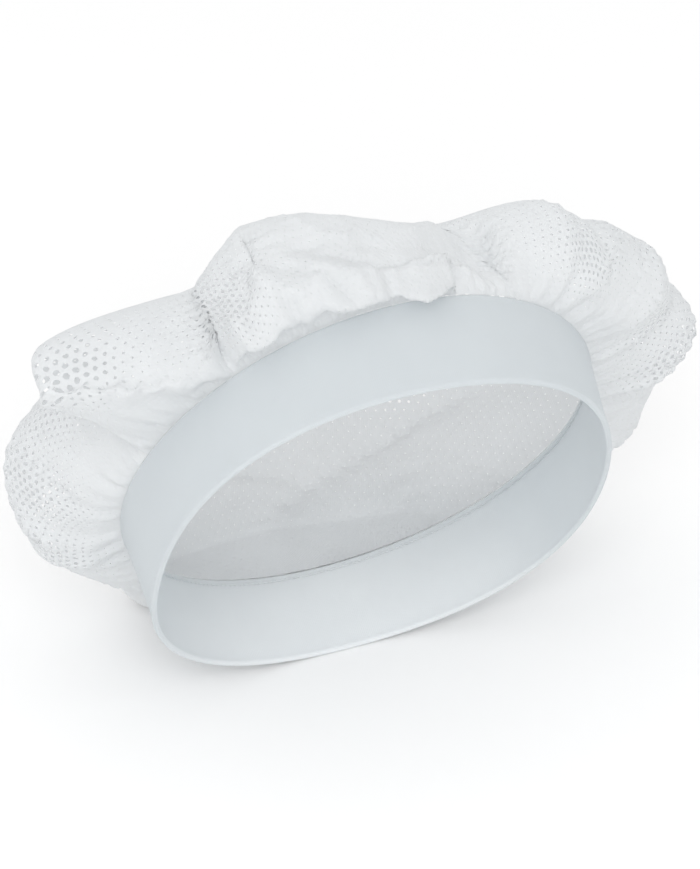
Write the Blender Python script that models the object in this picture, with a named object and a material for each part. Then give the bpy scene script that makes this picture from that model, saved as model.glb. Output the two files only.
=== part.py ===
"""Food service hair cap: an elastic headband with a gathered net crown, lying on its side.

Metres, +Z up, the surface it lies on is z = 0. X runs along the long way of the head opening, which
faces -Y and a little down; the crown spreads behind it, towards +Y, and rests on the same surface.
The cap's own axes are u (along X), v (up across the opening) and w (from the opening into the crown).
"""
import math

import bmesh
import bpy
import numpy as np

# The headband
BAND_HALF_LONG = 0.0930
BAND_HALF_SHORT = 0.0845
BAND_WIDTH = 0.0370
BAND_WALL = 0.0016
BAND_BEAD = 0.0024
BAND_BEAD_LENGTH = 0.0016
SEAM_SHIFT_U = 0.0042
SEAM_SHIFT_V = 0.0015
TILT = math.radians(24.0)

# The net crown
NET_WALL = 0.0012
SEAM_GAP = 0.0003
CROWN_MIDDLE_U = 0.006
CROWN_MIDDLE_V = -0.012
CROWN_DEPTH = 0.114
MIDDLE_FLAT = 0.34
NECK_SHARE = 1.02
NECK_PULL = 0.45
NECK_RISE = 0.001
BELLY_SPARE = 0.035
BELLY_START = 0.55
BELLY_END = 0.45
SHOULDER_RISE = 0.004
TAUT = 0.7
GATHER_COUNT = 21
GATHER_DEPTH = 0.0016
GATHER_START = 0.06
GATHER_RUN = 0.20
BELLY_RADIUS = 0.115
ARC_NARROWING = 0.8
CLOTH_LENGTH = 0.180
FOLD_STEPS = 13
FOLD_TIP = 0.35
FOLD_SHARPNESS = 1.7
FOLD_END = 0.08
FOLD_FADE = 0.7
SEAM_HOLD = 0.12

# Resting on the surface
SINK = 0.0008
SOFT_REST = 0.0030
REST_FLAT = 0.0006
REST_BLEND = 0.0120

# How finely the cloth is cut into faces
BAND_COLUMNS = 72
CROWN_COLUMNS = 100
CROWN_ROWS = 24
ROW_CROWDING = 1.25

# How the small gathers drift round the seam
GATHER_DRIFT = (
    # waves, drift
    (2, 0.07),
    (5, 0.04),
)

# How the two edges of the band leave a plain oval: waves around the ring, cosine and sine share
RIM_WAVES = (
    # waves, cosine, sine
    (2, -0.015, -0.010),
    (3, 0.010, -0.015),
    (4, -0.020, 0.0),
)
SEAM_WAVES = (
    # waves, cosine, sine
    (2, 0.0, 0.010),
    (3, 0.005, -0.015),
)

# The puff of the crown around the band. Angle in degrees from +u towards +v; belly is the widest place as a
# share of the band's half axes, belly_w its distance from the rim as a share of the crown's depth;
# shoulder and shoulder_w the same for the place where the crown turns over to its middle.
LOBES = (
    # angle, belly, belly_w, shoulder, shoulder_w
    (0, 1.54, 0.50, 1.00, 0.80),
    (20, 1.41, 0.50, 1.00, 0.80),
    (35, 1.26, 0.55, 0.78, 0.80),
    (48, 1.23, 0.60, 0.60, 0.80),
    (60, 0.92, 0.55, 0.56, 0.80),
    (72, 0.92, 0.55, 0.60, 0.80),
    (88, 1.00, 0.55, 0.64, 0.80),
    (115, 1.24, 0.60, 0.88, 0.80),
    (130, 1.00, 0.50, 0.70, 0.80),
    (152, 1.56, 0.55, 0.60, 0.80),
    (165, 1.00, 0.60, 0.90, 0.80),
    (188, 1.28, 0.70, 0.98, 0.85),
    (212, 1.36, 0.50, 0.95, 0.80),
    (228, 1.27, 0.60, 0.95, 0.80),
    (245, 1.55, 0.50, 1.00, 0.90),
    (270, 1.50, 0.50, 1.05, 0.90),
    (295, 1.50, 0.50, 1.00, 0.90),
    (325, 1.50, 0.50, 0.95, 0.85),
    (342, 1.57, 0.50, 1.00, 0.80),
)

# The larger folds of the crown. Each runs through three places given by an angle in degrees and a share of
# the way along the cloth from the band (0) to the crown's middle (1); half_width and height (a dent is
# negative) are shares of the band's width.
FOLDS = (
    # angle, share, angle, share, angle, share, half_width, height
    (113, 0.46, 88, 0.20, 61, 0.40, 0.22, 0.13),
    (106, 0.60, 92, 0.48, 80, 0.50, 0.30, -0.07),
    (78, 0.42, 69, 0.52, 58, 0.62, 0.24, -0.10),
    (136, 0.06, 150, 0.22, 172, 0.46, 0.20, -0.22),
    (134, 0.08, 131, 0.30, 127, 0.58, 0.20, -0.22),
    (157, 0.28, 160, 0.42, 165, 0.58, 0.16, 0.12),
    (122, 0.10, 116, 0.30, 113, 0.55, 0.18, 0.12),
    (106, 0.03, 111, 0.16, 120, 0.36, 0.14, -0.12),
    (99, 0.05, 104, 0.14, 114, 0.30, 0.14, 0.12),
    (92, 0.02, 99, 0.12, 108, 0.26, 0.12, -0.12),
    (74, 0.06, 72, 0.14, 70, 0.30, 0.15, -0.10),
    (60, 0.04, 58, 0.24, 56, 0.46, 0.15, -0.14),
    (67, 0.10, 64, 0.28, 60, 0.44, 0.15, 0.06),
    (38, 0.05, 36, 0.24, 30, 0.50, 0.18, -0.14),
    (20, 0.04, 21, 0.24, 24, 0.46, 0.16, -0.14),
    (8, 0.06, 10, 0.26, 12, 0.50, 0.16, 0.12),
    (355, 0.05, 359, 0.26, 364, 0.50, 0.16, -0.16),
    (343, 0.06, 346, 0.26, 350, 0.46, 0.16, 0.12),
    (331, 0.05, 336, 0.28, 339, 0.50, 0.18, -0.18),
    (316, 0.06, 312, 0.26, 306, 0.54, 0.20, 0.12),
    (188, 0.08, 184, 0.26, 182, 0.46, 0.18, 0.08),
    (202, 0.06, 197, 0.26, 190, 0.50, 0.18, -0.14),
    (215, 0.08, 210, 0.26, 206, 0.46, 0.18, 0.08),
    (228, 0.06, 224, 0.28, 217, 0.54, 0.18, -0.14),
    (250, 0.08, 246, 0.30, 238, 0.58, 0.22, 0.08),
    (285, 0.05, 290, 0.30, 300, 0.62, 0.20, -0.14),
    (270, 0.55, 230, 0.72, 190, 0.66, 0.24, -0.14),
    (-20, 0.66, 20, 0.74, 60, 0.76, 0.24, -0.14),
    (150, 0.72, 120, 0.82, 80, 0.84, 0.24, 0.12),
    (88, 0.17, 80, 0.20, 71, 0.17, 0.12, -0.20),
    (176, 0.66, 150, 0.84, 60, 0.90, 0.18, -0.14),
    (205, 0.58, 215, 0.74, 300, 0.88, 0.20, -0.18),
    (84, 0.74, 50, 0.82, 10, 0.74, 0.18, -0.14),
    (232, 0.60, 262, 0.76, 318, 0.74, 0.20, 0.14),
)

# Where a lobe of the net laps over the band's back edge. Angle and half width in degrees, and how far it
# hangs over as a share of the band's width.
LAPS = (
    # angle, half_width, drop
    (85, 7.0, 0.29),
    (101, 7.0, 0.25),
    (119, 7.0, 0.22),
    (136, 5.0, 0.08),
    (26, 6.0, 0.06),
    (204, 6.0, 0.07),
)
LAP_STAND_OFF = 0.0044
LAP_TURN = 0.018
LAP_END = 0.14
LAP_BACK = 0.34
LAP_LOOP = 1.4
LAP_EASE = 0.15

BAND_COLOUR = (0.80, 0.82, 0.87)
NET_COLOUR = (0.80, 0.84, 0.83)
CLOTH_ROUGHNESS = 0.85


def round_table(rows, column, angle):
    """One column of a table of angles, joined round the ring: mostly straight from row to row, so that each
    row is a soft crease and the cloth is tight between them, with the corners eased by a smooth curve."""
    at = np.radians([row[0] for row in rows])
    value = np.array([row[column] for row in rows], float)
    turn = 2.0 * math.pi
    at = np.concatenate([at - turn, at, at + turn])
    value = np.tile(value, 3)
    step = np.diff(at)
    rise = np.diff(value) / step
    slope = np.zeros_like(value)
    slope[1:-1] = (rise[:-1] * step[1:] + rise[1:] * step[:-1]) / (step[1:] + step[:-1])
    k = np.clip(np.searchsorted(at, angle, side="right") - 1, 0, len(step) - 1)
    x = (angle - at[k]) / step[k]
    smooth = ((2 * x ** 3 - 3 * x ** 2 + 1) * value[k] + (x ** 3 - 2 * x ** 2 + x) * step[k] * slope[k]
              + (3 * x ** 2 - 2 * x ** 3) * value[k + 1] + (x ** 3 - x ** 2) * step[k] * slope[k + 1])
    return smooth + TAUT * (value[k] + rise[k] * (angle - at[k]) - smooth)


def waves(table, angle):
    """The ring's radius as a share of the plain oval's."""
    share = np.ones_like(angle)
    for count, cosine, sine in table:
        share = share + cosine * np.cos(count * angle) + sine * np.sin(count * angle)
    return share


def ring(angle, along):
    """The middle of the band's cloth: u and v at a share of the band's width."""
    share = (1.0 - along) * waves(RIM_WAVES, angle) + along * waves(SEAM_WAVES, angle)
    return (BAND_HALF_LONG * share * np.cos(angle) + SEAM_SHIFT_U * along,
            BAND_HALF_SHORT * share * np.sin(angle) + SEAM_SHIFT_V * along)


def outward(angle):
    """Unit direction in u and v away from the head opening's middle."""
    way = np.stack([BAND_HALF_SHORT * np.cos(angle), BAND_HALF_LONG * np.sin(angle)], -1)
    return way / np.linalg.norm(way, axis=-1, keepdims=True)


def place(u, v, w):
    """Cap coordinates to metres above the surface, before the part is centred."""
    rim_height = BAND_HALF_SHORT * math.cos(TILT) - SINK
    return np.stack([u, w * math.cos(TILT) - v * math.sin(TILT),
                     rim_height + v * math.cos(TILT) + w * math.sin(TILT)], -1)


def rest(points, lowest):
    """Lays what would hang below a height flat on it, with a soft turn at the edge of the contact."""
    over = points[..., 2] - lowest
    soft = 0.5 * (over + np.sqrt(over ** 2 + SOFT_REST ** 2)) - REST_FLAT
    blended = points.copy()
    blended[..., 2] = lowest + np.maximum(0.0, soft)
    far = np.clip(over / REST_BLEND, 0.0, 1.0)
    blended[..., 2] += far * (points[..., 2] - blended[..., 2])
    return blended


def spline(controls, along):
    """Clamped cubic B-spline of control points (each columns x 3), at shares of its length."""
    points = np.stack(controls, 1)
    count = points.shape[1]
    knots = np.concatenate([np.zeros(3), np.linspace(0.0, 1.0, count - 2), np.ones(3)])
    x = np.clip(along, 0.0, 1.0 - 1e-9)
    basis = [((x >= knots[i]) & (x < knots[i + 1])).astype(float) for i in range(count + 3)]
    basis.append(np.zeros_like(x))
    for degree in (1, 2, 3):
        for i in range(count + 3 - degree):
            before = knots[i + degree] - knots[i]
            after = knots[i + degree + 1] - knots[i + 1]
            left = (x - knots[i]) / before * basis[i] if before > 0 else 0.0
            right = (knots[i + degree + 1] - x) / after * basis[i + 1] if after > 0 else 0.0
            basis[i] = left + right
    return np.einsum("kr,ckx->crx", np.stack(basis[:count]), points)


def hump(start, end, along):
    """0 before start, a soft hump of height 1 between start and end, 0 after end."""
    x = np.clip((along - start) / (end - start), 0.0, 1.0)
    return np.sin(math.pi * x) ** 2


def fold_line(fold, angle, along):
    """How strongly a fold is felt at each place of the crown: 1 on its line, fading to its sides and ends."""
    angle_a, share_a, angle_b, share_b, angle_c, share_c, half_width, _ = fold
    t = np.linspace(0.0, 1.0, FOLD_STEPS)
    curve = [(1 - t) ** 2 * a + 2 * t * (1 - t) * (2 * b - (a + c) / 2) + t ** 2 * c
             for a, b, c in ((angle_a, angle_b, angle_c), (share_a, share_b, share_c))]
    strength = np.zeros((len(angle), len(along)))
    arc = BELLY_RADIUS * (1.0 - ARC_NARROWING * along[None, :])
    for step, way, share in zip(t, np.radians(curve[0]), curve[1]):
        sideways = ((angle[:, None] - way + math.pi) % (2 * math.pi) - math.pi) * arc
        lengthways = (along[None, :] - share) * CLOTH_LENGTH
        near = (sideways ** 2 + lengthways ** 2) / (half_width * BAND_WIDTH) ** 2
        fade = math.sin(math.pi * (FOLD_END + (1.0 - 2.0 * FOLD_END) * step)) ** FOLD_FADE
        crease = np.exp(FOLD_TIP - np.sqrt(FOLD_SHARPNESS * near + FOLD_TIP ** 2))
        strength = np.maximum(strength, fade * crease)
    return strength


def crown_middle(angle, along):
    """The middle of the crown's cloth in cap coordinates (columns x rows x 3)."""
    belly, belly_w, shoulder, shoulder_w = (round_table(LOBES, c, angle) for c in (1, 2, 3, 4))
    belly_w = belly_w * CROWN_DEPTH
    shoulder_w = shoulder_w * CROWN_DEPTH
    seam_u, seam_v = ring(angle, np.ones_like(angle))
    seam_w = BAND_WIDTH + SEAM_GAP + NET_WALL / 2
    long_way = BAND_HALF_LONG * np.cos(angle)
    short_way = BAND_HALF_SHORT * np.sin(angle)

    def control(share, w, towards_middle=0.0):
        u = seam_u + (share - 1.0) * long_way
        v = seam_v + (share - 1.0) * short_way
        return np.stack([u + towards_middle * CROWN_MIDDLE_U, v + towards_middle * CROWN_MIDDLE_V,
                         w + np.zeros_like(angle)], -1)

    middle = np.stack([np.full_like(angle, CROWN_MIDDLE_U), np.full_like(angle, CROWN_MIDDLE_V),
                       np.full_like(angle, CROWN_DEPTH)], -1)
    cloth = spline([
        control(1.0, seam_w),
        control(NECK_SHARE + NECK_PULL * np.maximum(belly - 1.0, 0.0), seam_w + NECK_RISE),
        control(belly + BELLY_SPARE, seam_w + BELLY_START * (belly_w - seam_w)),
        control(belly + BELLY_SPARE, belly_w + BELLY_END * (shoulder_w - belly_w)),
        control(shoulder, shoulder_w + SHOULDER_RISE),
        control(MIDDLE_FLAT, CROWN_DEPTH, 1.0),
        middle], along)

    across = outward(angle)
    turned = angle + sum(drift * np.sin(count * angle) for count, drift in GATHER_DRIFT)
    gathers = GATHER_DEPTH * np.cos(GATHER_COUNT * turned)[:, None] * (
        np.exp(-along / GATHER_RUN) * np.clip(along / GATHER_START, 0.0, 1.0))[None, :]
    cloth[..., :2] += gathers[..., None] * across[:, None, :]

    way = surface_normals(cloth)
    held = np.clip(along / SEAM_HOLD, 0.0, 1.0) ** 2
    for fold in FOLDS:
        rise = fold[7] * BAND_WIDTH * fold_line(fold, angle, along) * held[None, :]
        cloth += rise[..., None] * way

    step_out = np.clip(along / LAP_TURN, 0.0, 1.0)
    step_out = step_out * np.clip((LAP_BACK - along) / (LAP_BACK - LAP_END), 0.0, 1.0)
    step_out = step_out * (1.0 + LAP_LOOP * np.clip((along - LAP_TURN) / (LAP_END - LAP_TURN), 0.0, 1.0))
    for lap_angle, half_width, drop in LAPS:
        off = (angle - math.radians(lap_angle) + math.pi) % (2 * math.pi) - math.pi
        lobe = np.exp(-(off / math.radians(half_width)) ** 2)
        fall = drop * BAND_WIDTH * lobe
        push = LAP_STAND_OFF * np.clip(fall / LAP_STAND_OFF - LAP_EASE, 0.0, 1.0)[:, None] * step_out[None, :]
        cloth[..., :2] += push[..., None] * across[:, None, :]
        cloth[..., 2] -= fall[:, None] * hump(LAP_TURN, LAP_END, along)[None, :]
    return cloth


def surface_normals(points):
    """Outward unit normals of a grid that closes round its columns and meets at its last row."""
    round_way = np.roll(points, -1, 0) - np.roll(points, 1, 0)
    along_way = np.gradient(points, axis=1)
    normal = np.cross(along_way, round_way)
    normal[:, -1] = normal[:, -2].mean(0)
    return normal / (np.linalg.norm(normal, axis=-1, keepdims=True) + 1e-12)


def crown_rows():
    """Shares along the cloth, closer together near the gathers."""
    even = np.linspace(0.0, 1.0, CROWN_ROWS + 1)
    return even ** ROW_CROWDING


def crown_skins():
    """Outer and inner skin of the crown, in metres above the surface."""
    angle = np.linspace(0.0, 2.0 * math.pi, CROWN_COLUMNS, endpoint=False)
    cloth = crown_middle(angle, crown_rows())
    placed = rest(place(cloth[..., 0], cloth[..., 1], cloth[..., 2]), NET_WALL / 2)
    way = surface_normals(placed)
    outer = placed + way * (NET_WALL / 2)
    inner = placed - way * (NET_WALL / 2)
    outer[..., 2] = np.maximum(outer[..., 2], 0.0)
    inner[..., 2] = np.maximum(inner[..., 2], NET_WALL)
    return outer, inner


def band_sections():
    """Closed sections of the band's wall (columns x points x 3), with a rolled bead along both edges."""
    section = (
        # offset from the middle of the wall, distance from the rim
        (0.0, 0.0),
        (0.35 * BAND_BEAD, 0.15 * BAND_BEAD_LENGTH),
        (0.5 * BAND_BEAD, 0.5 * BAND_BEAD_LENGTH),
        (0.5 * BAND_WALL, 1.3 * BAND_BEAD_LENGTH),
        (0.5 * BAND_WALL, 0.5 * BAND_WIDTH),
        (0.5 * BAND_WALL, BAND_WIDTH - 1.3 * BAND_BEAD_LENGTH),
        (0.5 * BAND_BEAD, BAND_WIDTH - 0.5 * BAND_BEAD_LENGTH),
        (0.35 * BAND_BEAD, BAND_WIDTH - 0.15 * BAND_BEAD_LENGTH),
    )
    mirrored = [(-offset, BAND_WIDTH - w) for offset, w in section]
    angle = np.linspace(0.0, 2.0 * math.pi, BAND_COLUMNS, endpoint=False)
    across = outward(angle)
    columns = []
    for offset, w in list(section) + mirrored:
        u, v = ring(angle, np.full_like(angle, w / BAND_WIDTH))
        columns.append(place(u + offset * across[:, 0], v + offset * across[:, 1], w + 0.0 * u))
    grid = np.stack(columns, 1)
    grid[..., 2] = np.maximum(grid[..., 2], 0.0)
    return grid


def centring(grids):
    """How far every grid moves, so that the part's box stands on the origin."""
    every = np.concatenate([grid.reshape(-1, 3) for grid in grids])
    low, high = every.min(0), every.max(0)
    return np.array([(low[0] + high[0]) / 2, (low[1] + high[1]) / 2, low[2]])


def add_object(name, verts, faces, colour):
    """A closed body with its own material, its faces turned outwards and smooth."""
    body = bmesh.new()
    points = [body.verts.new(v) for v in verts]
    for face in faces:
        body.faces.new([points[i] for i in face])
    bmesh.ops.recalc_face_normals(body, faces=body.faces)
    for face in body.faces:
        face.smooth = True
    mesh = bpy.data.meshes.new(name)
    body.to_mesh(mesh)
    body.free()
    material = bpy.data.materials.new(name)
    material.use_nodes = True
    shader = material.node_tree.nodes["Principled BSDF"]
    shader.inputs["Base Color"].default_value = (*colour, 1.0)
    shader.inputs["Roughness"].default_value = CLOTH_ROUGHNESS
    shader.inputs["Metallic"].default_value = 0.0
    mesh.materials.append(material)
    thing = bpy.data.objects.new(name, mesh)
    bpy.context.scene.collection.objects.link(thing)
    return thing


def add_band(grid):
    """The headband: its sections joined round the ring."""
    columns, points = grid.shape[:2]
    faces = []
    for i in range(columns):
        nxt = (i + 1) % columns
        for j in range(points):
            up = (j + 1) % points
            faces.append((i * points + j, nxt * points + j, nxt * points + up, i * points + up))
    return add_object("band", grid.reshape(-1, 3), faces, BAND_COLOUR)


def add_crown(outer, inner):
    """The crown: two skins joined along the seam, each closed by a fan at the crown's middle."""
    columns, rows = outer.shape[:2]
    rows -= 1
    verts = np.concatenate([outer[:, :rows].reshape(-1, 3), inner[:, :rows].reshape(-1, 3),
                            outer[:1, rows], inner[:1, rows]])
    skin = columns * rows
    top_out, top_in = 2 * skin, 2 * skin + 1
    faces = []
    for i in range(columns):
        nxt = (i + 1) % columns
        a, b = i * rows, nxt * rows
        for j in range(rows - 1):
            faces.append((a + j, b + j, b + j + 1, a + j + 1))
            faces.append((skin + a + j, skin + a + j + 1, skin + b + j + 1, skin + b + j))
        faces.append((a + rows - 1, b + rows - 1, top_out))
        faces.append((skin + b + rows - 1, skin + a + rows - 1, top_in))
        faces.append((b, a, skin + a, skin + b))
    return add_object("crown", verts, faces, NET_COLOUR)


for old in list(bpy.data.objects):
    bpy.data.objects.remove(old, do_unlink=True)

band_grid, (crown_outer, crown_inner) = band_sections(), crown_skins()
middle = centring([band_grid, crown_outer, crown_inner])
add_band(band_grid - middle)
add_crown(crown_outer - middle, crown_inner - middle)
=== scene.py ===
"""Food service hair cap: the looks of the elastic headband and of the gathered net crown.

Metres, +Z up, in the same frame as the CAD. The first half repeats the shape of the part's source, so the
fine net and the knitted band lie where their solids lie.
"""
import math

import bpy
import numpy as np
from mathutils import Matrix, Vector


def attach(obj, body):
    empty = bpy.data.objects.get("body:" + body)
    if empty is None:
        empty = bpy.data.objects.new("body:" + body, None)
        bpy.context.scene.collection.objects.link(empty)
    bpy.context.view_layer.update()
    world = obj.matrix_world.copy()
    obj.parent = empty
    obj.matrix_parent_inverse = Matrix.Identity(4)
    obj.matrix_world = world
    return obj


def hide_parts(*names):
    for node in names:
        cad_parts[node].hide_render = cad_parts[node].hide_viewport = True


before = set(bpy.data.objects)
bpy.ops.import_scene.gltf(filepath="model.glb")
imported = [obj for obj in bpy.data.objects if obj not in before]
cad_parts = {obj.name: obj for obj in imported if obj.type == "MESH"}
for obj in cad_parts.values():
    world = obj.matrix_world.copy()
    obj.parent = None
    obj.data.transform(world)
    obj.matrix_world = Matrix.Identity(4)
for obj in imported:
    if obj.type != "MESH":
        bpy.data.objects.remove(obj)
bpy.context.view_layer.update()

# The headband
BAND_HALF_LONG = 0.0930
BAND_HALF_SHORT = 0.0845
BAND_WIDTH = 0.0370
BAND_WALL = 0.0016
BAND_BEAD = 0.0024
BAND_BEAD_LENGTH = 0.0016
SEAM_SHIFT_U = 0.0042
SEAM_SHIFT_V = 0.0015
TILT = math.radians(24.0)

# The net crown
NET_WALL = 0.0012
SEAM_GAP = 0.0003
CROWN_MIDDLE_U = 0.006
CROWN_MIDDLE_V = -0.012
CROWN_DEPTH = 0.114
MIDDLE_FLAT = 0.34
NECK_SHARE = 1.02
NECK_PULL = 0.45
NECK_RISE = 0.001
BELLY_SPARE = 0.035
BELLY_START = 0.55
BELLY_END = 0.45
SHOULDER_RISE = 0.004
TAUT = 0.7
GATHER_COUNT = 21
GATHER_DEPTH = 0.0016
GATHER_START = 0.06
GATHER_RUN = 0.20
BELLY_RADIUS = 0.115
ARC_NARROWING = 0.8
CLOTH_LENGTH = 0.180
FOLD_STEPS = 13
FOLD_TIP = 0.35
FOLD_SHARPNESS = 1.7
FOLD_END = 0.08
FOLD_FADE = 0.7
SEAM_HOLD = 0.12

# Resting on the surface
SINK = 0.0008
SOFT_REST = 0.0030
REST_FLAT = 0.0006
REST_BLEND = 0.0120

# How finely the cloth is cut into faces
BAND_COLUMNS = 72
CROWN_COLUMNS = 100
CROWN_ROWS = 24
ROW_CROWDING = 1.25

# How the small gathers drift round the seam
GATHER_DRIFT = (
    # waves, drift
    (2, 0.07),
    (5, 0.04),
)

# How the two edges of the band leave a plain oval: waves around the ring, cosine and sine share
RIM_WAVES = (
    # waves, cosine, sine
    (2, -0.015, -0.010),
    (3, 0.010, -0.015),
    (4, -0.020, 0.0),
)
SEAM_WAVES = (
    # waves, cosine, sine
    (2, 0.0, 0.010),
    (3, 0.005, -0.015),
)

# The puff of the crown around the band. Angle in degrees from +u towards +v; belly is the widest place as a
# share of the band's half axes, belly_w its distance from the rim as a share of the crown's depth;
# shoulder and shoulder_w the same for the place where the crown turns over to its middle.
LOBES = (
    # angle, belly, belly_w, shoulder, shoulder_w
    (0, 1.54, 0.50, 1.00, 0.80),
    (20, 1.41, 0.50, 1.00, 0.80),
    (35, 1.26, 0.55, 0.78, 0.80),
    (48, 1.23, 0.60, 0.60, 0.80),
    (60, 0.92, 0.55, 0.56, 0.80),
    (72, 0.92, 0.55, 0.60, 0.80),
    (88, 1.00, 0.55, 0.64, 0.80),
    (115, 1.24, 0.60, 0.88, 0.80),
    (130, 1.00, 0.50, 0.70, 0.80),
    (152, 1.56, 0.55, 0.60, 0.80),
    (165, 1.00, 0.60, 0.90, 0.80),
    (188, 1.28, 0.70, 0.98, 0.85),
    (212, 1.36, 0.50, 0.95, 0.80),
    (228, 1.27, 0.60, 0.95, 0.80),
    (245, 1.55, 0.50, 1.00, 0.90),
    (270, 1.50, 0.50, 1.05, 0.90),
    (295, 1.50, 0.50, 1.00, 0.90),
    (325, 1.50, 0.50, 0.95, 0.85),
    (342, 1.57, 0.50, 1.00, 0.80),
)

# The larger folds of the crown. Each runs through three places given by an angle in degrees and a share of
# the way along the cloth from the band (0) to the crown's middle (1); half_width and height (a dent is
# negative) are shares of the band's width.
FOLDS = (
    # angle, share, angle, share, angle, share, half_width, height
    (113, 0.46, 88, 0.20, 61, 0.40, 0.22, 0.13),
    (106, 0.60, 92, 0.48, 80, 0.50, 0.30, -0.07),
    (78, 0.42, 69, 0.52, 58, 0.62, 0.24, -0.10),
    (136, 0.06, 150, 0.22, 172, 0.46, 0.20, -0.22),
    (134, 0.08, 131, 0.30, 127, 0.58, 0.20, -0.22),
    (157, 0.28, 160, 0.42, 165, 0.58, 0.16, 0.12),
    (122, 0.10, 116, 0.30, 113, 0.55, 0.18, 0.12),
    (106, 0.03, 111, 0.16, 120, 0.36, 0.14, -0.12),
    (99, 0.05, 104, 0.14, 114, 0.30, 0.14, 0.12),
    (92, 0.02, 99, 0.12, 108, 0.26, 0.12, -0.12),
    (74, 0.06, 72, 0.14, 70, 0.30, 0.15, -0.10),
    (60, 0.04, 58, 0.24, 56, 0.46, 0.15, -0.14),
    (67, 0.10, 64, 0.28, 60, 0.44, 0.15, 0.06),
    (38, 0.05, 36, 0.24, 30, 0.50, 0.18, -0.14),
    (20, 0.04, 21, 0.24, 24, 0.46, 0.16, -0.14),
    (8, 0.06, 10, 0.26, 12, 0.50, 0.16, 0.12),
    (355, 0.05, 359, 0.26, 364, 0.50, 0.16, -0.16),
    (343, 0.06, 346, 0.26, 350, 0.46, 0.16, 0.12),
    (331, 0.05, 336, 0.28, 339, 0.50, 0.18, -0.18),
    (316, 0.06, 312, 0.26, 306, 0.54, 0.20, 0.12),
    (188, 0.08, 184, 0.26, 182, 0.46, 0.18, 0.08),
    (202, 0.06, 197, 0.26, 190, 0.50, 0.18, -0.14),
    (215, 0.08, 210, 0.26, 206, 0.46, 0.18, 0.08),
    (228, 0.06, 224, 0.28, 217, 0.54, 0.18, -0.14),
    (250, 0.08, 246, 0.30, 238, 0.58, 0.22, 0.08),
    (285, 0.05, 290, 0.30, 300, 0.62, 0.20, -0.14),
    (270, 0.55, 230, 0.72, 190, 0.66, 0.24, -0.14),
    (-20, 0.66, 20, 0.74, 60, 0.76, 0.24, -0.14),
    (150, 0.72, 120, 0.82, 80, 0.84, 0.24, 0.12),
    (88, 0.17, 80, 0.20, 71, 0.17, 0.12, -0.20),
    (176, 0.66, 150, 0.84, 60, 0.90, 0.18, -0.14),
    (205, 0.58, 215, 0.74, 300, 0.88, 0.20, -0.18),
    (84, 0.74, 50, 0.82, 10, 0.74, 0.18, -0.14),
    (232, 0.60, 262, 0.76, 318, 0.74, 0.20, 0.14),
)

# Where a lobe of the net laps over the band's back edge. Angle and half width in degrees, and how far it
# hangs over as a share of the band's width.
LAPS = (
    # angle, half_width, drop
    (85, 7.0, 0.29),
    (101, 7.0, 0.25),
    (119, 7.0, 0.22),
    (136, 5.0, 0.08),
    (26, 6.0, 0.06),
    (204, 6.0, 0.07),
)
LAP_STAND_OFF = 0.0044
LAP_TURN = 0.018
LAP_END = 0.14
LAP_BACK = 0.34
LAP_LOOP = 1.4
LAP_EASE = 0.15


def round_table(rows, column, angle):
    """One column of a table of angles, joined round the ring: mostly straight from row to row, so that each
    row is a soft crease and the cloth is tight between them, with the corners eased by a smooth curve."""
    at = np.radians([row[0] for row in rows])
    value = np.array([row[column] for row in rows], float)
    turn = 2.0 * math.pi
    at = np.concatenate([at - turn, at, at + turn])
    value = np.tile(value, 3)
    step = np.diff(at)
    rise = np.diff(value) / step
    slope = np.zeros_like(value)
    slope[1:-1] = (rise[:-1] * step[1:] + rise[1:] * step[:-1]) / (step[1:] + step[:-1])
    k = np.clip(np.searchsorted(at, angle, side="right") - 1, 0, len(step) - 1)
    x = (angle - at[k]) / step[k]
    smooth = ((2 * x ** 3 - 3 * x ** 2 + 1) * value[k] + (x ** 3 - 2 * x ** 2 + x) * step[k] * slope[k]
              + (3 * x ** 2 - 2 * x ** 3) * value[k + 1] + (x ** 3 - x ** 2) * step[k] * slope[k + 1])
    return smooth + TAUT * (value[k] + rise[k] * (angle - at[k]) - smooth)


def waves(table, angle):
    """The ring's radius as a share of the plain oval's."""
    share = np.ones_like(angle)
    for count, cosine, sine in table:
        share = share + cosine * np.cos(count * angle) + sine * np.sin(count * angle)
    return share


def ring(angle, along):
    """The middle of the band's cloth: u and v at a share of the band's width."""
    share = (1.0 - along) * waves(RIM_WAVES, angle) + along * waves(SEAM_WAVES, angle)
    return (BAND_HALF_LONG * share * np.cos(angle) + SEAM_SHIFT_U * along,
            BAND_HALF_SHORT * share * np.sin(angle) + SEAM_SHIFT_V * along)


def outward(angle):
    """Unit direction in u and v away from the head opening's middle."""
    way = np.stack([BAND_HALF_SHORT * np.cos(angle), BAND_HALF_LONG * np.sin(angle)], -1)
    return way / np.linalg.norm(way, axis=-1, keepdims=True)


def place(u, v, w):
    """Cap coordinates to metres above the surface, before the part is centred."""
    rim_height = BAND_HALF_SHORT * math.cos(TILT) - SINK
    return np.stack([u, w * math.cos(TILT) - v * math.sin(TILT),
                     rim_height + v * math.cos(TILT) + w * math.sin(TILT)], -1)


def rest(points, lowest):
    """Lays what would hang below a height flat on it, with a soft turn at the edge of the contact."""
    over = points[..., 2] - lowest
    soft = 0.5 * (over + np.sqrt(over ** 2 + SOFT_REST ** 2)) - REST_FLAT
    blended = points.copy()
    blended[..., 2] = lowest + np.maximum(0.0, soft)
    far = np.clip(over / REST_BLEND, 0.0, 1.0)
    blended[..., 2] += far * (points[..., 2] - blended[..., 2])
    return blended


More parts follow.
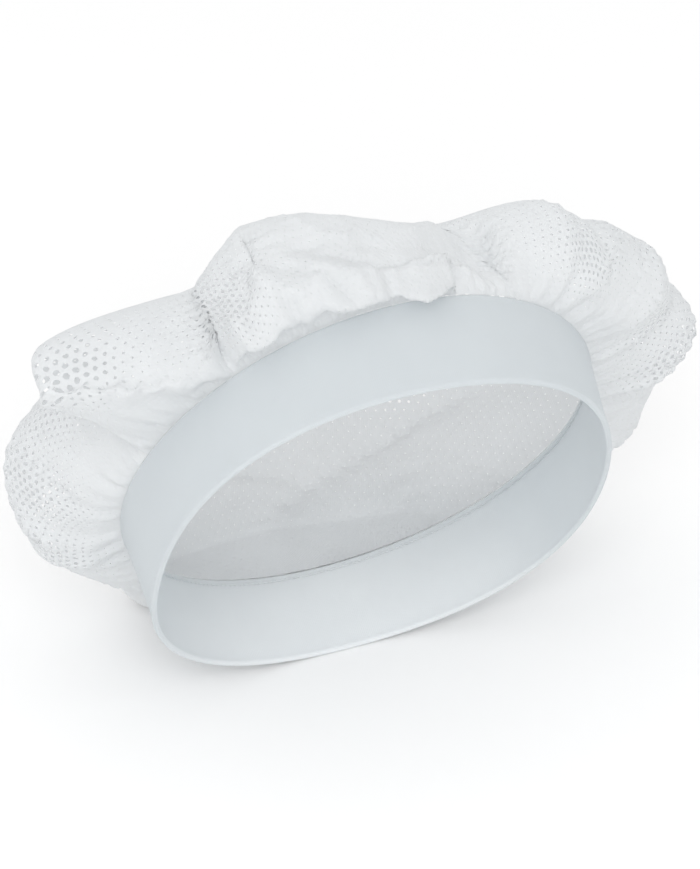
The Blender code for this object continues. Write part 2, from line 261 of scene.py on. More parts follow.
def spline(controls, along):
    """Clamped cubic B-spline of control points (each columns x 3), at shares of its length."""
    points = np.stack(controls, 1)
    count = points.shape[1]
    knots = np.concatenate([np.zeros(3), np.linspace(0.0, 1.0, count - 2), np.ones(3)])
    x = np.clip(along, 0.0, 1.0 - 1e-9)
    basis = [((x >= knots[i]) & (x < knots[i + 1])).astype(float) for i in range(count + 3)]
    basis.append(np.zeros_like(x))
    for degree in (1, 2, 3):
        for i in range(count + 3 - degree):
            before = knots[i + degree] - knots[i]
            after = knots[i + degree + 1] - knots[i + 1]
            left = (x - knots[i]) / before * basis[i] if before > 0 else 0.0
            right = (knots[i + degree + 1] - x) / after * basis[i + 1] if after > 0 else 0.0
            basis[i] = left + right
    return np.einsum("kr,ckx->crx", np.stack(basis[:count]), points)


def hump(start, end, along):
    """0 before start, a soft hump of height 1 between start and end, 0 after end."""
    x = np.clip((along - start) / (end - start), 0.0, 1.0)
    return np.sin(math.pi * x) ** 2


def fold_line(fold, angle, along):
    """How strongly a fold is felt at each place of the crown: 1 on its line, fading to its sides and ends."""
    angle_a, share_a, angle_b, share_b, angle_c, share_c, half_width, _ = fold
    t = np.linspace(0.0, 1.0, FOLD_STEPS)
    curve = [(1 - t) ** 2 * a + 2 * t * (1 - t) * (2 * b - (a + c) / 2) + t ** 2 * c
             for a, b, c in ((angle_a, angle_b, angle_c), (share_a, share_b, share_c))]
    strength = np.zeros((len(angle), len(along)))
    arc = BELLY_RADIUS * (1.0 - ARC_NARROWING * along[None, :])
    for step, way, share in zip(t, np.radians(curve[0]), curve[1]):
        sideways = ((angle[:, None] - way + math.pi) % (2 * math.pi) - math.pi) * arc
        lengthways = (along[None, :] - share) * CLOTH_LENGTH
        near = (sideways ** 2 + lengthways ** 2) / (half_width * BAND_WIDTH) ** 2
        fade = math.sin(math.pi * (FOLD_END + (1.0 - 2.0 * FOLD_END) * step)) ** FOLD_FADE
        crease = np.exp(FOLD_TIP - np.sqrt(FOLD_SHARPNESS * near + FOLD_TIP ** 2))
        strength = np.maximum(strength, fade * crease)
    return strength


def crown_middle(angle, along):
    """The middle of the crown's cloth in cap coordinates (columns x rows x 3)."""
    belly, belly_w, shoulder, shoulder_w = (round_table(LOBES, c, angle) for c in (1, 2, 3, 4))
    belly_w = belly_w * CROWN_DEPTH
    shoulder_w = shoulder_w * CROWN_DEPTH
    seam_u, seam_v = ring(angle, np.ones_like(angle))
    seam_w = BAND_WIDTH + SEAM_GAP + NET_WALL / 2
    long_way = BAND_HALF_LONG * np.cos(angle)
    short_way = BAND_HALF_SHORT * np.sin(angle)

    def control(share, w, towards_middle=0.0):
        u = seam_u + (share - 1.0) * long_way
        v = seam_v + (share - 1.0) * short_way
        return np.stack([u + towards_middle * CROWN_MIDDLE_U, v + towards_middle * CROWN_MIDDLE_V,
                         w + np.zeros_like(angle)], -1)

    middle = np.stack([np.full_like(angle, CROWN_MIDDLE_U), np.full_like(angle, CROWN_MIDDLE_V),
                       np.full_like(angle, CROWN_DEPTH)], -1)
    cloth = spline([
        control(1.0, seam_w),
        control(NECK_SHARE + NECK_PULL * np.maximum(belly - 1.0, 0.0), seam_w + NECK_RISE),
        control(belly + BELLY_SPARE, seam_w + BELLY_START * (belly_w - seam_w)),
        control(belly + BELLY_SPARE, belly_w + BELLY_END * (shoulder_w - belly_w)),
        control(shoulder, shoulder_w + SHOULDER_RISE),
        control(MIDDLE_FLAT, CROWN_DEPTH, 1.0),
        middle], along)

    across = outward(angle)
    turned = angle + sum(drift * np.sin(count * angle) for count, drift in GATHER_DRIFT)
    gathers = GATHER_DEPTH * np.cos(GATHER_COUNT * turned)[:, None] * (
        np.exp(-along / GATHER_RUN) * np.clip(along / GATHER_START, 0.0, 1.0))[None, :]
    cloth[..., :2] += gathers[..., None] * across[:, None, :]

    way = surface_normals(cloth)
    held = np.clip(along / SEAM_HOLD, 0.0, 1.0) ** 2
    for fold in FOLDS:
        rise = fold[7] * BAND_WIDTH * fold_line(fold, angle, along) * held[None, :]
        cloth += rise[..., None] * way

    step_out = np.clip(along / LAP_TURN, 0.0, 1.0)
    step_out = step_out * np.clip((LAP_BACK - along) / (LAP_BACK - LAP_END), 0.0, 1.0)
    step_out = step_out * (1.0 + LAP_LOOP * np.clip((along - LAP_TURN) / (LAP_END - LAP_TURN), 0.0, 1.0))
    for lap_angle, half_width, drop in LAPS:
        off = (angle - math.radians(lap_angle) + math.pi) % (2 * math.pi) - math.pi
        lobe = np.exp(-(off / math.radians(half_width)) ** 2)
        fall = drop * BAND_WIDTH * lobe
        push = LAP_STAND_OFF * np.clip(fall / LAP_STAND_OFF - LAP_EASE, 0.0, 1.0)[:, None] * step_out[None, :]
        cloth[..., :2] += push[..., None] * across[:, None, :]
        cloth[..., 2] -= fall[:, None] * hump(LAP_TURN, LAP_END, along)[None, :]
    return cloth


def surface_normals(points):
    """Outward unit normals of a grid that closes round its columns and meets at its last row."""
    round_way = np.roll(points, -1, 0) - np.roll(points, 1, 0)
    along_way = np.gradient(points, axis=1)
    normal = np.cross(along_way, round_way)
    normal[:, -1] = normal[:, -2].mean(0)
    return normal / (np.linalg.norm(normal, axis=-1, keepdims=True) + 1e-12)


def crown_rows():
    """Shares along the cloth, closer together near the gathers."""
    even = np.linspace(0.0, 1.0, CROWN_ROWS + 1)
    return even ** ROW_CROWDING


def crown_skins():
    """Outer and inner skin of the crown, in metres above the surface."""
    angle = np.linspace(0.0, 2.0 * math.pi, CROWN_COLUMNS, endpoint=False)
    cloth = crown_middle(angle, crown_rows())
    placed = rest(place(cloth[..., 0], cloth[..., 1], cloth[..., 2]), NET_WALL / 2)
    way = surface_normals(placed)
    outer = placed + way * (NET_WALL / 2)
    inner = placed - way * (NET_WALL / 2)
    outer[..., 2] = np.maximum(outer[..., 2], 0.0)
    inner[..., 2] = np.maximum(inner[..., 2], NET_WALL)
    return outer, inner


def band_sections():
    """Closed sections of the band's wall (columns x points x 3), with a rolled bead along both edges."""
    section = (
        # offset from the middle of the wall, distance from the rim
        (0.0, 0.0),
        (0.35 * BAND_BEAD, 0.15 * BAND_BEAD_LENGTH),
        (0.5 * BAND_BEAD, 0.5 * BAND_BEAD_LENGTH),
        (0.5 * BAND_WALL, 1.3 * BAND_BEAD_LENGTH),
        (0.5 * BAND_WALL, 0.5 * BAND_WIDTH),
        (0.5 * BAND_WALL, BAND_WIDTH - 1.3 * BAND_BEAD_LENGTH),
        (0.5 * BAND_BEAD, BAND_WIDTH - 0.5 * BAND_BEAD_LENGTH),
        (0.35 * BAND_BEAD, BAND_WIDTH - 0.15 * BAND_BEAD_LENGTH),
    )
    mirrored = [(-offset, BAND_WIDTH - w) for offset, w in section]
    angle = np.linspace(0.0, 2.0 * math.pi, BAND_COLUMNS, endpoint=False)
    across = outward(angle)
    columns = []
    for offset, w in list(section) + mirrored:
        u, v = ring(angle, np.full_like(angle, w / BAND_WIDTH))
        columns.append(place(u + offset * across[:, 0], v + offset * across[:, 1], w + 0.0 * u))
    grid = np.stack(columns, 1)
    grid[..., 2] = np.maximum(grid[..., 2], 0.0)
    return grid


def centring(grids):
    """How far every grid moves, so that the part's box stands on the origin."""
    every = np.concatenate([grid.reshape(-1, 3) for grid in grids])
    low, high = every.min(0), every.max(0)
    return np.array([(low[0] + high[0]) / 2, (low[1] + high[1]) / 2, low[2]])


# The net: a disc of knitted net with six-sided holes, gathered into the band
NET_RADIUS = 0.184
HOLE_PITCH = 0.0033
HOLE_RADIUS = 0.00112
HOLE_AT_SEAM = 0.60
HOLE_FULL = 0.030
EDGE_MARGIN = 0.45
SAME_POINT = 0.05
STRAND_RISE = 0.00014
STRAND_SINK = 0.00008
CLOTH_COLUMNS = 900
CLOTH_ROWS = 260
FLOOR_CLEAR = 0.0003

# Small gathers of the net: how many round the seam, depth, how far from the seam they fade, and a phase
PLEATS = (
    # count, depth, fade, phase
    (118, 0.00075, 0.009, 0.0),
    (71, 0.00085, 0.018, 1.3),
    (43, 0.00080, 0.034, 2.6),
)
PLEAT_START = 0.004
PLEAT_DRIFT = 0.05
PLEAT_FINE_DRIFT = 0.02
PLEAT_UNEVEN = 0.25

# Where the net is stretched its holes stand open; elsewhere they are nearly shut
HOLE_SHUT = 0.18
OPEN_PATCHES = (
    # angle, share of the way to the crown's middle, half width round in degrees, half along
    (176, 0.30, 10, 0.10),
    (190, 0.20, 7, 0.16),
    (204, 0.13, 9, 0.09),
    (150, 0.24, 8, 0.07),
    (119, 0.50, 5, 0.07),
    (125, 0.20, 9, 0.10),
    (52, 0.50, 8, 0.13),
    (42, 0.15, 8, 0.10),
    (25, 0.33, 9, 0.09),
    (13, 0.14, 7, 0.10),
    (358, 0.20, 7, 0.12),
    (156, 0.52, 8, 0.12),
    (166, 0.42, 7, 0.10),
    (196, 0.75, 9, 0.08),
    (212, 0.64, 14, 0.13),
    (214, 0.32, 8, 0.12),
    (234, 0.44, 7, 0.09),
    (24, 0.67, 10, 0.09),
    (345, 0.46, 8, 0.10),
    (357, 0.60, 15, 0.13),
    (258, 0.60, 9, 0.05),
    (307, 0.60, 7, 0.04),
)

# Sharp creases in the net, in the same form as the larger folds
CREASES = (
    # angle, share, angle, share, angle, share, half_width, height
    (56, 0.56, 58, 0.26, 64, 0.06, 0.06, -0.07),
    (44, 0.50, 46, 0.26, 42, 0.06, 0.05, 0.04),
    (38, 0.34, 37, 0.20, 32, 0.06, 0.05, -0.05),
    (22, 0.38, 27, 0.20, 27, 0.05, 0.05, -0.05),
    (4, 0.36, 10, 0.20, 14, 0.05, 0.05, 0.04),
    (357, 0.24, 358, 0.15, 355, 0.06, 0.05, -0.05),
    (152, 0.24, 146, 0.18, 139, 0.12, 0.07, -0.09),
    (190, 0.42, 186, 0.20, 188, 0.06, 0.06, -0.06),
    (201, 0.30, 198, 0.16, 200, 0.05, 0.06, 0.05),
    (117, 0.55, 120, 0.28, 122, 0.08, 0.05, -0.04),
    (110, 0.45, 98, 0.30, 84, 0.30, 0.06, 0.05),
    (252, 0.52, 278, 0.70, 312, 0.66, 0.20, -0.20),
    (258, 0.46, 286, 0.60, 318, 0.57, 0.16, 0.14),
    (270, 0.38, 296, 0.51, 324, 0.48, 0.18, -0.20),
    (246, 0.42, 260, 0.50, 276, 0.47, 0.14, -0.16),
    (296, 0.76, 310, 0.68, 322, 0.62, 0.12, 0.10),
)

# Shallow crinkles all over the net: waves round, waves along, depth, phase
CRINKLES = (
    # round, along, depth, phase
    (17, 3.0, 0.00022, 0.4),
    (9, -2.0, 0.00040, 5.0),
)
CRINKLE_BEND = 1.2
CRINKLE_FADE = 0.12

# The fine band
FINE_COLUMNS = 480
BAND_STEPS = 22
LIP_STEPS = 7
LIP_TURN = math.radians(115.0)
LIP_BLEND = 1.5
BAND_DENTS = (
    # angle, distance from the rim as a share of the width, half width round in degrees, half along, depth
    (52, 0.42, 13, 0.30, -0.0012),
    (78, 0.62, 10, 0.35, 0.0007),
    (112, 0.45, 16, 0.40, -0.0009),
    (146, 0.60, 13, 0.35, 0.0008),
    (222, 0.50, 16, 0.40, -0.0010),
    (262, 0.45, 18, 0.35, 0.0008),
    (306, 0.55, 15, 0.35, -0.0008),
)

# The thread along the seam: stitches, points in each, how far it swings, radius, its sides, and a direction
# that the thread never runs along, to turn its sides from
STITCH_COUNT = 264
STITCH_STEPS = 4
STITCH_SWING = 0.00020
THREAD_RADIUS = 0.00028
THREAD_SIDES = 5
THREAD_ACROSS = (0.3, 0.2, 0.93)

# Close to the floor no light comes through the cloths; it grows to the full share at these heights
NET_BACKED = 0.020
BAND_BACKED = 0.045

# The looks of the two cloths: colours, size of the slow change of shade, knit, and light let through
NET_LIGHT = (0.825, 0.84, 0.85)
NET_DARK = (0.785, 0.80, 0.81)
NET_SHADE_SCALE = 45.0
NET_WALE = 0.00062
NET_COURSE = 0.00045
NET_KNIT_DEPTH = 0.00008
NET_KNIT_STRENGTH = 0.4
NET_THROUGH = 0.35
BAND_LIGHT = (0.78, 0.81, 0.825)
BAND_DARK = (0.75, 0.78, 0.80)
BAND_SHADE_SCALE = 30.0
BAND_WALE = 0.00075
BAND_COURSE = 0.00060
BAND_KNIT_DEPTH = 0.00006
BAND_KNIT_STRENGTH = 0.3
BAND_THROUGH = 0.50
LOOP_BOW = 1.4
WALE_HEIGHT = 0.6
LOOP_HEIGHT = 0.4
FIBRE_SCALE = 4200.0
FIBRE_DETAIL = 2.0
SHADE_DETAIL = 3.0
SHADE_ROUGHNESS = 0.55
SHADE_LOW = 0.30
SHADE_HIGH = 0.70
ROUGH_LOW = 0.72
ROUGH_HIGH = 0.90
SPECULAR = 0.25
SHEEN = 0.15
SHEEN_ROUGHNESS = 0.6

# The studio
FLOOR_REACH = 6.0
FLOOR_COLOUR = (0.96, 0.96, 0.96)
FLOOR_ROUGHNESS = 0.9
FLOOR_SPECULAR = 0.1
WORLD_STRENGTH = 0.93
LIGHT_AIM = (0.0, 0.0, 0.08)
LIGHTS = (
    # name, power, size, place
    ("key", 0.4, 0.9, (-0.7, -0.5, 1.1)),
    ("fill", 0.2, 1.2, (0.9, -0.8, 0.8)),
    ("front", 18.0, 1.6, (-0.8, -1.8, 1.5)),
)

# The photograph's frame
PHOTO_HEIGHT = 869
PIXEL = 0.36e-3
CAMERA_DISTANCE = 1.4
CAMERA_AZIMUTH = math.radians(-23.5)
CAMERA_ELEVATION = math.radians(32.0)
TARGET_FROM_RIM = (-0.014, 0.0, 0.044)
SENSOR = 36.0
CLIP_START = 0.05
CLIP_END = 50.0


def cloth_tables(shift):
    """The crown's cloth and its normals on a fine grid, rows at even shares of the cloth's length."""
    angle = np.linspace(0.0, 2.0 * math.pi, CLOTH_COLUMNS, endpoint=False)
    cloth = crown_middle(angle, np.linspace(0.0, 1.0, CLOTH_ROWS + 1))
    placed = rest(place(cloth[..., 0], cloth[..., 1], cloth[..., 2]), NET_WALL / 2) - shift
    run = np.linalg.norm(np.diff(placed, axis=1), axis=2).cumsum(1)
    run = np.concatenate([np.zeros((len(run), 1)), run], 1)
    even = np.linspace(0.0, 1.0, CLOTH_ROWS + 1)
    out = np.empty_like(placed)
    for i in range(len(placed)):
        for axis in range(3):
            out[i, :, axis] = np.interp(even * run[i, -1], run[i], placed[i, :, axis])
    way = surface_normals(out)
    held = np.clip(even / SEAM_HOLD, 0.0, 1.0) ** 2
    for crease in CREASES:
        rise = crease[7] * BAND_WIDTH * fold_line(crease, angle, even) * held[None, :]
        out += rise[..., None] * way
    return out, surface_normals(out), run[:, -1]


def look_up(table, angle, share):
    """Values of a grid between its columns and rows."""
    columns, rows = table.shape[0], table.shape[1] - 1
    across = (angle / (2 * math.pi) * columns) % columns
    i = across.astype(int) % columns
    f = (across - np.floor(across))[:, None]
    down = np.clip(share, 0.0, 1.0) * rows
    j = np.minimum(down.astype(int), rows - 1)
    g = (down - j)[:, None]
    nxt = (i + 1) % columns
    return ((1 - f) * (1 - g) * table[i, j] + f * (1 - g) * table[nxt, j]
            + (1 - f) * g * table[i, j + 1] + f * g * table[nxt, j + 1])


def small_waves(angle, share, length):
    """How far the net stands off its large shape: pleats at the seam and shallow crinkles."""
    from_seam = share * length
    start = np.clip(from_seam / PLEAT_START, 0.0, 1.0)
    height = np.zeros_like(angle)
    for count, depth, fade, phase in PLEATS:
        bent = (angle + PLEAT_DRIFT * np.sin(3 * angle + phase)
                + PLEAT_FINE_DRIFT * np.sin(11 * angle + 2 * phase))
        uneven = 1.0 - PLEAT_UNEVEN + PLEAT_UNEVEN * np.sin(7 * angle + phase)
        height += depth * uneven * np.cos(count * bent + phase) * start * np.exp(-from_seam / fade)
    middle = np.clip((1.0 - share) / CRINKLE_FADE, 0.0, 1.0)
    for round_waves, along_waves, depth, phase in CRINKLES:
        turn = round_waves * angle + 2 * math.pi * along_waves * share + phase
        height += depth * np.sin(turn + CRINKLE_BEND * np.sin(0.5 * turn + phase)) * start * middle
    return height


def hole_openness(angle, share):
    """1 where the net is stretched open, HOLE_SHUT where its holes are nearly shut."""
    openness = np.zeros_like(angle)
    for at, middle, half_round, half_along in OPEN_PATCHES:
        off = (angle - math.radians(at) + math.pi) % (2 * math.pi) - math.pi
        patch = np.exp(-(off / math.radians(half_round)) ** 2 - ((share - middle) / half_along) ** 2)
        openness = np.maximum(openness, patch)
    return HOLE_SHUT + (1.0 - HOLE_SHUT) * openness


def flat_net():
    """The flat disc of net: points in metres, faces, and which points are on a hole's edge."""
    across = HOLE_PITCH
    down = HOLE_PITCH * math.sqrt(3.0) / 2.0
    reach = int(NET_RADIUS / down) + 2
    spots = [((i + 0.5 * (j % 2)) * across, j * down)
             for j in range(-reach, reach + 1) for i in range(-reach, reach + 1)]
    spots = np.array([s for s in spots if math.hypot(*s) < NET_RADIUS - EDGE_MARGIN * HOLE_PITCH])
    turn = np.radians(30.0 + 60.0 * np.arange(6))
    corner = np.stack([np.cos(turn), np.sin(turn)], -1)
    outer = spots[:, None] + corner[None] * HOLE_PITCH / math.sqrt(3.0)
    key = np.round(outer.reshape(-1, 2) / (SAME_POINT * HOLE_PITCH)).astype(int)
    _, first, back = np.unique(key, axis=0, return_index=True, return_inverse=True)
    shared = outer.reshape(-1, 2)[first]
    back = back.reshape(-1, 6)
    from_seam = np.clip((NET_RADIUS - np.linalg.norm(spots, axis=1)) / HOLE_FULL, 0.0, 1.0)
    spot_angle = np.arctan2(spots[:, 1], spots[:, 0]) % (2 * math.pi)
    spot_share = 1.0 - np.linalg.norm(spots, axis=1) / NET_RADIUS
    size = HOLE_RADIUS * (HOLE_AT_SEAM + (1.0 - HOLE_AT_SEAM) * from_seam)
    size = size * hole_openness(spot_angle, spot_share)
    inner = (spots[:, None] + corner[None] * size[:, None, None]).reshape(-1, 2)
    points = np.concatenate([shared, inner])
    faces = []
    for cell in range(len(spots)):
        for k in range(6):
            m = (k + 1) % 6
            base = len(shared) + 6 * cell
            faces.append((back[cell, k], back[cell, m], base + m, base + k))
    edges = {}
    for a, b, _, _ in faces:
        edges[(min(a, b), max(a, b))] = edges.get((min(a, b), max(a, b)), 0) + 1
    rim = sorted({v for edge, uses in edges.items() if uses == 1 for v in edge})
    far = np.linalg.norm(points[rim], axis=1)
    points[rim] *= (NET_RADIUS / far)[:, None]
    return points, np.array(faces), np.arange(len(points)) >= len(shared)


def mesh_object(name, points, faces, flat=None):
    """A smooth mesh, with flat coordinates in metres for its weave."""
    mesh = bpy.data.meshes.new(name)
    mesh.from_pydata([tuple(p) for p in points], [], [tuple(int(i) for i in f) for f in faces])
    mesh.polygons.foreach_set("use_smooth", [True] * len(mesh.polygons))
    if flat is not None:
        layer = mesh.uv_layers.new(name="flat")
        loops = np.zeros(len(mesh.loops), int)
        mesh.loops.foreach_get("vertex_index", loops)
        layer.data.foreach_set("uv", np.asarray(flat, float)[loops].ravel())
    mesh.update()
    thing = bpy.data.objects.new(name, mesh)
    bpy.context.scene.collection.objects.link(thing)
    return thing


def make_net(shift):
    """The crown's net, hung on the crown's shape."""
    table, normals, lengths = cloth_tables(shift)
    flat, faces, on_hole = flat_net()
    angle = np.arctan2(flat[:, 1], flat[:, 0]) % (2 * math.pi)
    share = 1.0 - np.linalg.norm(flat, axis=1) / NET_RADIUS
    where = look_up(table, angle, share)
    way = look_up(normals, angle, share)
    way /= np.linalg.norm(way, axis=1, keepdims=True)
    lift = small_waves(angle, share, lengths.mean())
    lift += np.where(on_hole, -STRAND_SINK, STRAND_RISE)
    points = where + way * lift[:, None]
    points[:, 2] = np.maximum(points[:, 2], FLOOR_CLEAR)
    return mesh_object("crown_net", points, faces, flat)


def band_dents(angle, along):
    """How far the band's soft wall leaves its plain ring, outwards."""
    height = np.zeros_like(angle)
    for at, middle, half_round, half_along, depth in BAND_DENTS:
        off = (angle - math.radians(at) + math.pi) % (2 * math.pi) - math.pi
        height += depth * np.exp(-(off / math.radians(half_round)) ** 2
                                 - ((along - middle) / half_along) ** 2)
    return height


def band_profile():
    """Offset from the wall's middle and distance from the rim, all round the wall."""
    lip = BAND_BEAD / 2
    rim = [(lip * math.sin(t), lip * (1 - math.cos(t)))
           for t in np.linspace(0.0, LIP_TURN, LIP_STEPS)]
    side = []
    low, high = rim[-1][1], BAND_WIDTH - rim[-1][1]
    for t in np.linspace(0.0, 1.0, BAND_STEPS)[1:-1]:
        w = low + (high - low) * t
        edge = min(w - low, high - w) / (LIP_BLEND * BAND_BEAD)
        blend = max(0.0, 1.0 - edge)
        side.append((BAND_WALL / 2 + (rim[-1][0] - BAND_WALL / 2) * blend ** 2, w))
    top = [(offset, BAND_WIDTH - w) for offset, w in rim[::-1]]
    outside = rim + side + top
    inside = [(-offset, w) for offset, w in outside[::-1]][1:-1]
    return outside + inside


def ring_length(angle):
    """Distance round the ring from its first column."""
    u, v = ring(angle, np.full_like(angle, 0.5))
    steps = np.hypot(np.roll(u, -1) - u, np.roll(v, -1) - v)
    return np.concatenate([[0.0], steps.cumsum()])


def make_band(shift):
    """The knitted band, with rolled lips and soft dents."""
    angle = np.linspace(0.0, 2.0 * math.pi, FINE_COLUMNS, endpoint=False)
    across = outward(angle)
    profile = band_profile()
    columns = []
    for offset, w in profile:
        along = np.full_like(angle, w / BAND_WIDTH)
        u, v = ring(angle, along)
        out = offset + band_dents(angle, along) * math.sin(math.pi * min(max(w / BAND_WIDTH, 0.0), 1.0))
        columns.append(place(u + out * across[:, 0], v + out * across[:, 1], w + 0.0 * u))
    grid = np.stack(columns, 1) - shift
    grid[..., 2] = np.maximum(grid[..., 2], 0.0)
    count, points = grid.shape[:2]
    faces = [(i * points + j, ((i + 1) % count) * points + j,
              ((i + 1) % count) * points + (j + 1) % points, i * points + (j + 1) % points)
             for i in range(count) for j in range(points)]
    round_way = ring_length(angle)
    around = [0.0]
    for (a, b), (c, d) in zip(profile, profile[1:] + profile[:1]):
        around.append(around[-1] + math.hypot(a - c, b - d))
    thing = mesh_object("headband_knit", grid.reshape(-1, 3), faces)
    layer = thing.data.uv_layers.new(name="flat")
    uv = []
    for i in range(count):
        for j in range(points):
            uv += [(round_way[i], around[j]), (round_way[i + 1], around[j]),
                   (round_way[i + 1], around[j + 1]), (round_way[i], around[j + 1])]
    layer.data.foreach_set("uv", np.array(uv).ravel())
    return thing


def tube(path, radius, sides):
    """A thin thread along a path: its points and faces."""
    way = np.gradient(path, axis=0)
    way /= np.linalg.norm(way, axis=1, keepdims=True)
    side = np.cross(way, THREAD_ACROSS)
    side /= np.linalg.norm(side, axis=1, keepdims=True)
    up = np.cross(way, side)
    points, faces = [], []
    for p, s, n in zip(path, side, up):
        for k in range(sides):
            t = 2 * math.pi * k / sides
            points.append(p + radius * (math.cos(t) * s + math.sin(t) * n))
    for i in range(len(path) - 1):
        for k in range(sides):
            m = (k + 1) % sides
            a = i * sides
            faces.append((a + k, a + m, a + sides + m, a + sides + k))
    return points, faces


def make_stitches(shift):
    """The overlock thread that runs round inside the band's back edge, swinging from stitch to stitch."""
    count = STITCH_COUNT * STITCH_STEPS
    angle = np.linspace(0.0, 2.0 * math.pi, count + 1)
    swing = STITCH_SWING * np.sin(angle * STITCH_COUNT)
    w = BAND_WIDTH - BAND_BEAD - THREAD_RADIUS + swing
    along = w / BAND_WIDTH
    u, v = ring(angle, along)
    across = outward(angle)
    dent = band_dents(angle, along) * np.sin(math.pi * along)
    out = dent - BAND_BEAD / 2 - THREAD_RADIUS
    path = place(u + out * across[:, 0], v + out * across[:, 1], w) - shift
    points, faces = tube(path, THREAD_RADIUS, THREAD_SIDES)
    return mesh_object("seam_thread", points, faces)


def node_tree(name):
    """A new material with its shader."""
    material = bpy.data.materials.new(name)
    material.use_nodes = True
    return material, material.node_tree, material.node_tree.nodes["Principled BSDF"]


def add_node(tree, kind, **values):
    """A node with its inputs or properties set by name."""
    node = tree.nodes.new(kind)
    for key, value in values.items():
        if key in node.inputs:
            node.inputs[key].default_value = value
        else:
            setattr(node, key, value)
    return node


def knit_bump(tree, shader, uv, wale, course, depth, strength):
    """Rows of small knitted stitches from flat coordinates in metres."""
    split = add_node(tree, "ShaderNodeSeparateXYZ")
    tree.links.new(uv, split.inputs[0])

    def maths(operation, first, second=None):
        node = tree.nodes.new("ShaderNodeMath")
        node.operation = operation
        for slot, value in enumerate((first, second)):
            if value is None:
                continue
            if isinstance(value, float):
                node.inputs[slot].default_value = value
            else:
                tree.links.new(value, node.inputs[slot])
        return node.outputs[0]

    u = maths("DIVIDE", split.outputs[0], wale)
    v = maths("DIVIDE", split.outputs[1], course)
    bow = maths("ABSOLUTE", maths("SUBTRACT", maths("FRACT", u), 0.5))
    wales = maths("COSINE", maths("MULTIPLY", maths("SUBTRACT", maths("FRACT", u), 0.5), 2 * math.pi))
    loops = maths("SINE", maths("MULTIPLY", maths("ADD", v, maths("MULTIPLY", bow, LOOP_BOW)), 2 * math.pi))
    height = maths("ADD", maths("MULTIPLY", wales, WALE_HEIGHT), maths("MULTIPLY", loops, LOOP_HEIGHT))
    fibre = add_node(tree, "ShaderNodeTexNoise", Scale=FIBRE_SCALE, Detail=FIBRE_DETAIL)
    tree.links.new(uv, fibre.inputs["Vector"])
    height = maths("ADD", height, fibre.outputs["Fac"])
    bump = add_node(tree, "ShaderNodeBump", Strength=strength, Distance=depth)
    tree.links.new(height, bump.inputs["Height"])
    tree.links.new(bump.outputs[0], shader.inputs["Normal"])


def cloth_colour(tree, shader, uv, light, dark, scale):
    """Slow change of shade and of roughness over the cloth."""
    noise = add_node(tree, "ShaderNodeTexNoise", Scale=scale, Detail=SHADE_DETAIL, Roughness=SHADE_ROUGHNESS)
    tree.links.new(uv, noise.inputs["Vector"])
    ramp = tree.nodes.new("ShaderNodeValToRGB")
    ramp.color_ramp.elements[0].position = SHADE_LOW
    ramp.color_ramp.elements[0].color = (*dark, 1.0)
    ramp.color_ramp.elements[1].position = SHADE_HIGH
    ramp.color_ramp.elements[1].color = (*light, 1.0)
    tree.links.new(noise.outputs["Fac"], ramp.inputs[0])
    tree.links.new(ramp.outputs[0], shader.inputs["Base Color"])
    rough = tree.nodes.new("ShaderNodeMapRange")
    rough.inputs["To Min"].default_value = ROUGH_LOW
    rough.inputs["To Max"].default_value = ROUGH_HIGH
    tree.links.new(noise.outputs["Fac"], rough.inputs["Value"])
    tree.links.new(rough.outputs[0], shader.inputs["Roughness"])


def cloth_material(name, light, dark, scale, wale, course, depth, strength, through, backed):
    """A white knitted cloth that lets a share of the light through, less of it close to the floor."""
    material, tree, shader = node_tree(name)
    uv = add_node(tree, "ShaderNodeUVMap", uv_map="flat").outputs[0]
    knit_bump(tree, shader, uv, wale, course, depth, strength)
    cloth_colour(tree, shader, uv, light, dark, scale)
    shader.inputs["Metallic"].default_value = 0.0
    shader.inputs["Specular IOR Level"].default_value = SPECULAR
    shader.inputs["Sheen Weight"].default_value = SHEEN
    shader.inputs["Sheen Roughness"].default_value = SHEEN_ROUGHNESS
    behind = add_node(tree, "ShaderNodeBsdfTranslucent", Color=(*light, 1.0))
    mix = tree.nodes.new("ShaderNodeMixShader")
    spot = add_node(tree, "ShaderNodeNewGeometry")
    height = add_node(tree, "ShaderNodeSeparateXYZ")
    tree.links.new(spot.outputs["Position"], height.inputs[0])
    lit = tree.nodes.new("ShaderNodeMapRange")
    lit.inputs["From Max"].default_value = backed
    lit.inputs["To Max"].default_value = through
    tree.links.new(height.outputs["Z"], lit.inputs["Value"])
    tree.links.new(lit.outputs[0], mix.inputs[0])
    tree.links.new(shader.outputs[0], mix.inputs[1])
    tree.links.new(behind.outputs[0], mix.inputs[2])
    tree.links.new(mix.outputs[0], tree.nodes["Material Output"].inputs["Surface"])
    return material


def add_light(name, energy, size, place_at, aim):
    """A soft round white light."""
    light = bpy.data.lights.new(name, "AREA")
    light.energy = energy
    light.shape = "DISK"
    light.size = size
    lamp = bpy.data.objects.new(name, light)
    lamp.location = place_at
    lamp.rotation_euler = (Vector(aim) - Vector(place_at)).to_track_quat("-Z", "Y").to_euler()
    bpy.context.scene.collection.objects.link(lamp)


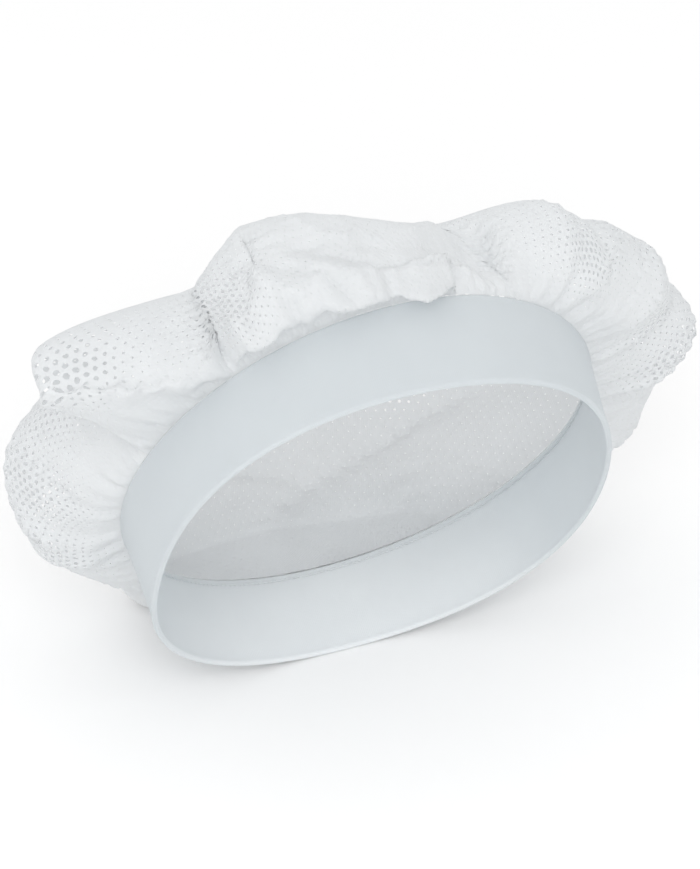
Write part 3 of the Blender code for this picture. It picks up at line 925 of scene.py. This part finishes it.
def make_studio():
    """A pale floor, white surroundings and soft light."""
    world = bpy.data.worlds.new("studio")
    bpy.context.scene.world = world
    world.use_nodes = True
    back = world.node_tree.nodes["Background"]
    back.inputs["Color"].default_value = (1.0, 1.0, 1.0, 1.0)
    back.inputs["Strength"].default_value = WORLD_STRENGTH
    side = FLOOR_REACH
    floor = mesh_object("floor", [(-side, -side, 0), (side, -side, 0), (side, side, 0), (-side, side, 0)],
                        [(0, 1, 2, 3)])
    material, _, shader = node_tree("floor")
    shader.inputs["Base Color"].default_value = (*FLOOR_COLOUR, 1.0)
    shader.inputs["Roughness"].default_value = FLOOR_ROUGHNESS
    shader.inputs["Specular IOR Level"].default_value = FLOOR_SPECULAR
    floor.data.materials.append(material)
    for name, power, size, place_at in LIGHTS:
        add_light(name, power, size, place_at, LIGHT_AIM)


def make_camera(shift):
    """The camera at the photograph's angle."""
    rim = place(np.zeros(1), np.zeros(1), np.zeros(1))[0] - shift
    target = Vector(rim) + Vector(TARGET_FROM_RIM)
    way = Vector((-math.sin(CAMERA_AZIMUTH) * math.cos(CAMERA_ELEVATION),
                  math.cos(CAMERA_AZIMUTH) * math.cos(CAMERA_ELEVATION), -math.sin(CAMERA_ELEVATION)))
    lens = bpy.data.cameras.new("camera")
    lens.sensor_fit = "VERTICAL"
    lens.sensor_width = SENSOR
    lens.sensor_height = SENSOR
    lens.lens = CAMERA_DISTANCE / PIXEL * lens.sensor_height / PHOTO_HEIGHT
    lens.clip_start = CLIP_START
    lens.clip_end = CLIP_END
    camera = bpy.data.objects.new("camera", lens)
    camera.location = target - way * CAMERA_DISTANCE
    camera.rotation_euler = way.to_track_quat("-Z", "Y").to_euler()
    bpy.context.scene.collection.objects.link(camera)
    bpy.context.scene.camera = camera


bpy.context.scene.view_settings.view_transform = "Standard"
shift = centring([band_sections(), *crown_skins()])
make_camera(shift)
make_studio()

net_white = cloth_material("net_white", NET_LIGHT, NET_DARK, NET_SHADE_SCALE,
                           NET_WALE, NET_COURSE, NET_KNIT_DEPTH, NET_KNIT_STRENGTH,
                           NET_THROUGH, NET_BACKED)
band_white = cloth_material("band_white", BAND_LIGHT, BAND_DARK, BAND_SHADE_SCALE,
                            BAND_WALE, BAND_COURSE, BAND_KNIT_DEPTH, BAND_KNIT_STRENGTH,
                            BAND_THROUGH, BAND_BACKED)

net = make_net(shift)
net.data.materials.append(net_white)
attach(net, "root")
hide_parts("crown")

band = make_band(shift)
band.data.materials.append(band_white)
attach(band, "root")
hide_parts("band")

stitches = make_stitches(shift)
stitches.data.materials.append(band_white)
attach(stitches, "root")
